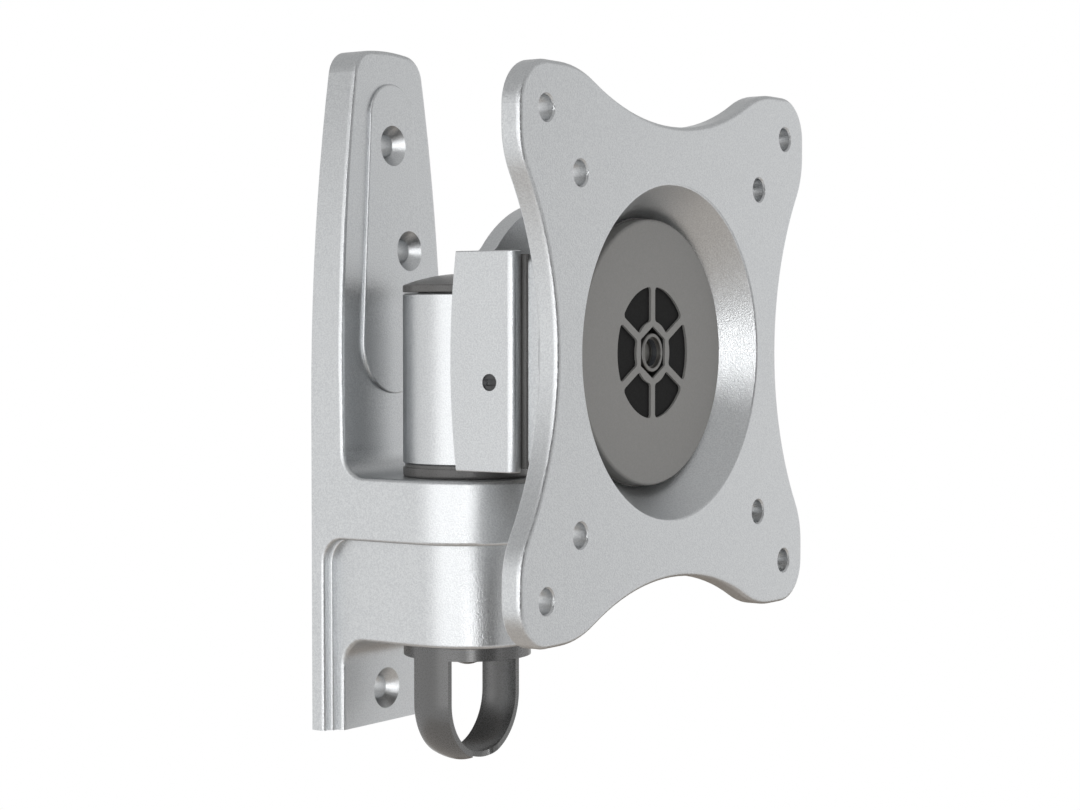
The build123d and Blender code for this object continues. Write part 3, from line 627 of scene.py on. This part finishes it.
# Out from the mount's middle and back from the ridge's face, rounded outside.
def ridgeSection(ridge):
    section = [(ridge["inner"], ridge["thick"]), (ridge["inner"], 0.0)]
    for angle in anglesBetween(0, 90, ridge["roundingSteps"]):
        section.append((
            ridge["outer"] - ridge["rounding"] * (1 - math.sin(angle)),
            ridge["rounding"] * (1 - math.cos(angle)),
        ))
    section.append((ridge["outer"], ridge["thick"]))
    return section


def buildStepRidge():
    piece = newPiece("bracketStepRidge", "bracket", silver)
    build = bmesh.new()
    for side in (-1, 1):
        rings = []
        for reach, height, angle in ridgePath(stepRidge):
            rings.append([
                build.verts.new(metres(
                    side * across,
                    -(reach - back * math.cos(angle)),
                    height + back * math.sin(angle),
                ))
                for across, back in ridgeSection(stepRidge)
            ])
        for here, after in zip(rings, rings[1:]):
            joinRings(build, here, after, smooth=True)
        build.faces.new(rings[0])
        build.faces.new(list(reversed(rings[-1])))
    finishMesh(piece.data, build)


def buildSlotShadeStrips():
    # Painted shade: dark strips for the shaded slot between the rocker and the yoke's cheeks.
    piece = newPiece("rockerSlotShadeStrips", "rocker", plastic["darkNylon"])
    build = bmesh.new()
    size = Vector(metres(
        slotShadeStrip["outer"] - slotShadeStrip["inner"],
        slotShadeStrip["front"] - slotShadeStrip["back"],
        slotShadeStrip["top"] - slotShadeStrip["bottom"],
    ))
    for side in (-1, 1):
        middle = Vector(metres(
            side * (slotShadeStrip["outer"] + slotShadeStrip["inner"]) / 2,
            -(slotShadeStrip["front"] + slotShadeStrip["back"]) / 2,
            (slotShadeStrip["top"] + slotShadeStrip["bottom"]) / 2,
        ))
        for corner in bmesh.ops.create_cube(build, size=1.0)["verts"]:
            corner.co = middle + corner.co * size
    bmesh.ops.bevel(
        build, geom=build.edges[:], affect="EDGES",
        offset=slotShadeStrip["rounding"] / 1000, segments=slotShadeStrip["roundingSteps"],
    )
    finishMesh(piece.data, build)


buildLockNut()
buildHubShadeRing()
buildSlotShadeStrips()
buildWindowShadeSheets()
buildStepRidge()
# The gasket, wear strips and window foam named here are dark pieces that stand in for shade.
print("nut, gasket, wear strips, window foam and step ridge made")


# The studio has a pale floor, a white room, soft lamps, and cards that only
# reflections see. Camera, glossy and transmitted rays see floor and room as white.
def seenAsWhite(tree):
    path = addNode(tree, "ShaderNodeLightPath")
    first = addNode(tree, "ShaderNodeMath", {"operation": "MAXIMUM"}, {
        0: (path, "Is Camera Ray"), 1: (path, "Is Glossy Ray"),
    })
    return addNode(tree, "ShaderNodeMath", {"operation": "MAXIMUM"}, {
        0: (first, "Value"), 1: (path, "Is Transmission Ray"),
    })


def paleFloor():
    material, tree = newTree("paleStudioFloor")
    card = addNode(tree, "ShaderNodeBsdfPrincipled", sockets={
        "Base Color": colour(studio["floorColour"]), "Roughness": studio["floorRough"],
    })
    white = addNode(tree, "ShaderNodeEmission", sockets={"Strength": 1.0})
    blend = addNode(tree, "ShaderNodeMixShader", sockets={
        0: (seenAsWhite(tree), "Value"), 1: (card, "BSDF"), 2: (white, "Emission"),
    })
    addNode(tree, "ShaderNodeOutputMaterial", sockets={"Surface": (blend, "Shader")})
    return material


def buildFloor():
    height = cadLow[2] - studio["floorDrop"]
    bpy.ops.mesh.primitive_plane_add(size=studio["floorSize"], location=(0, 0, height))
    floor = bpy.context.object
    floor.name = "studioFloor"
    floor.data.materials.append(paleFloor())


def buildRoom():
    world = bpy.data.worlds.new("whiteRoom")
    bpy.context.scene.world = world
    world.use_nodes = True
    tree = world.node_tree
    tree.nodes.clear()
    strength = addNode(tree, "ShaderNodeMapRange", sockets={
        "Value": (seenAsWhite(tree), "Value"), "To Min": studio["roomLight"], "To Max": 1.0,
    })
    background = addNode(tree, "ShaderNodeBackground", sockets={
        "Color": (1, 1, 1, 1), "Strength": (strength, "Result"),
    })
    addNode(tree, "ShaderNodeOutputWorld", sockets={"Surface": (background, "Background")})


# Lamps and cards stand round the mount and face its middle. Their bearing is in
# degrees from -X towards -Y, so the camera is at about 35, and their rise is in
# degrees above level. Lengths are in metres and power is in watts.
lamps = {
    "keyLamp": {
        "bearing": 4, "rise": -1, "away": 1.6,
        "width": 1.36, "height": 0.85, "power": 3.95, "gloss": True,
    },
    "catchLamp": {
        "bearing": 43, "rise": -1, "away": 1.05,
        "width": 0.13, "height": 0.79, "power": 2.3, "gloss": True,
    },
    "plateLamp": {
        "bearing": 150, "rise": -1, "away": 1.8,
        "width": 0.45, "height": 0.8, "power": 0.11, "gloss": True,
    },
    "topLamp": {
        "bearing": 60, "rise": 65, "away": 1.6,
        "width": 1.2, "height": 1.2, "power": 4.5, "gloss": False,
    },
    "rightLamp": {
        "bearing": 138, "rise": 20, "away": 1.8,
        "width": 0.9, "height": 1.0, "power": 3.0, "gloss": False,
    },
}
cards = {
    "frontCard": {
        "bearing": 67, "rise": 0, "away": 1.1,
        "width": 0.9, "height": 1.8, "colour": "#262524",
    },
    "sideCard": {
        "bearing": 120, "rise": 0, "away": 1.15,
        "width": 0.75, "height": 1.8, "colour": "#c8c8c8",
    },
    "ceilingCard": {
        "bearing": 60, "rise": 90, "away": 0.6,
        "width": 2.8, "height": 2.8, "colour": "#c6c6c6",
    },
    "groundCard": {
        "bearing": 60, "rise": -90, "away": 0.42,
        "width": 0.95, "height": 0.95, "colour": "#cbc4bd",
    },
    "lowCard": {
        "bearing": 192, "rise": -36, "away": 0.5,
        "width": 0.45, "height": 0.35, "colour": "#8a8178",
    },
}


# Where a lamp or card stands, and how it turns to face the middle.
def facingMount(thing):
    angle = math.radians(thing["bearing"])
    lift = math.radians(thing["rise"])
    middle = Vector((0, -studio["middleReach"], 0))
    outward = Vector((
        -math.cos(angle) * math.cos(lift),
        -math.sin(angle) * math.cos(lift),
        math.sin(lift),
    ))
    return middle + outward * thing["away"], outward.to_track_quat("Z", "Y").to_euler()


def buildLamp(name, lamp):
    light = bpy.data.lights.new(name, "AREA")
    light.shape = "RECTANGLE"
    light.size = lamp["width"]
    light.size_y = lamp["height"]
    light.energy = lamp["power"]
    holder = addObject(name, light)
    holder.location, holder.rotation_euler = facingMount(lamp)
    holder.visible_camera = False
    holder.visible_glossy = lamp["gloss"]


def cardPaper(name, card):
    material, tree = newTree(name + "Paper")
    glow = addNode(tree, "ShaderNodeEmission", sockets={"Color": colour(card["colour"]), "Strength": 1.0})
    addNode(tree, "ShaderNodeOutputMaterial", sockets={"Surface": (glow, "Emission")})
    return material


def buildCard(name, card):
    bpy.ops.mesh.primitive_plane_add(size=1.0)
    sheet = bpy.context.object
    sheet.name = name
    sheet.location, sheet.rotation_euler = facingMount(card)
    sheet.scale = (card["width"], card["height"], 1.0)
    sheet.visible_camera = False
    sheet.visible_shadow = False
    sheet.visible_diffuse = False
    sheet.data.materials.append(cardPaper(name, card))


def buildCamera():
    lens = bpy.data.cameras.new("photoCamera")
    lens.sensor_fit = "HORIZONTAL"
    lens.sensor_width = camera["sensor"]
    lens.lens = camera["lens"]
    lens.clip_start = camera["nearest"]
    holder = addObject("photoCamera", lens)
    holder.location = camera["place"]
    holder.rotation_euler = Vector(camera["view"]).to_track_quat("-Z", "Y").to_euler()
    bpy.context.scene.camera = holder


buildFloor()
buildRoom()
for name, lamp in lamps.items():
    buildLamp(name, lamp)
for name, card in cards.items():
    buildCard(name, card)
buildCamera()
bpy.context.scene.view_settings.view_transform = "Standard"
print("studio ready")
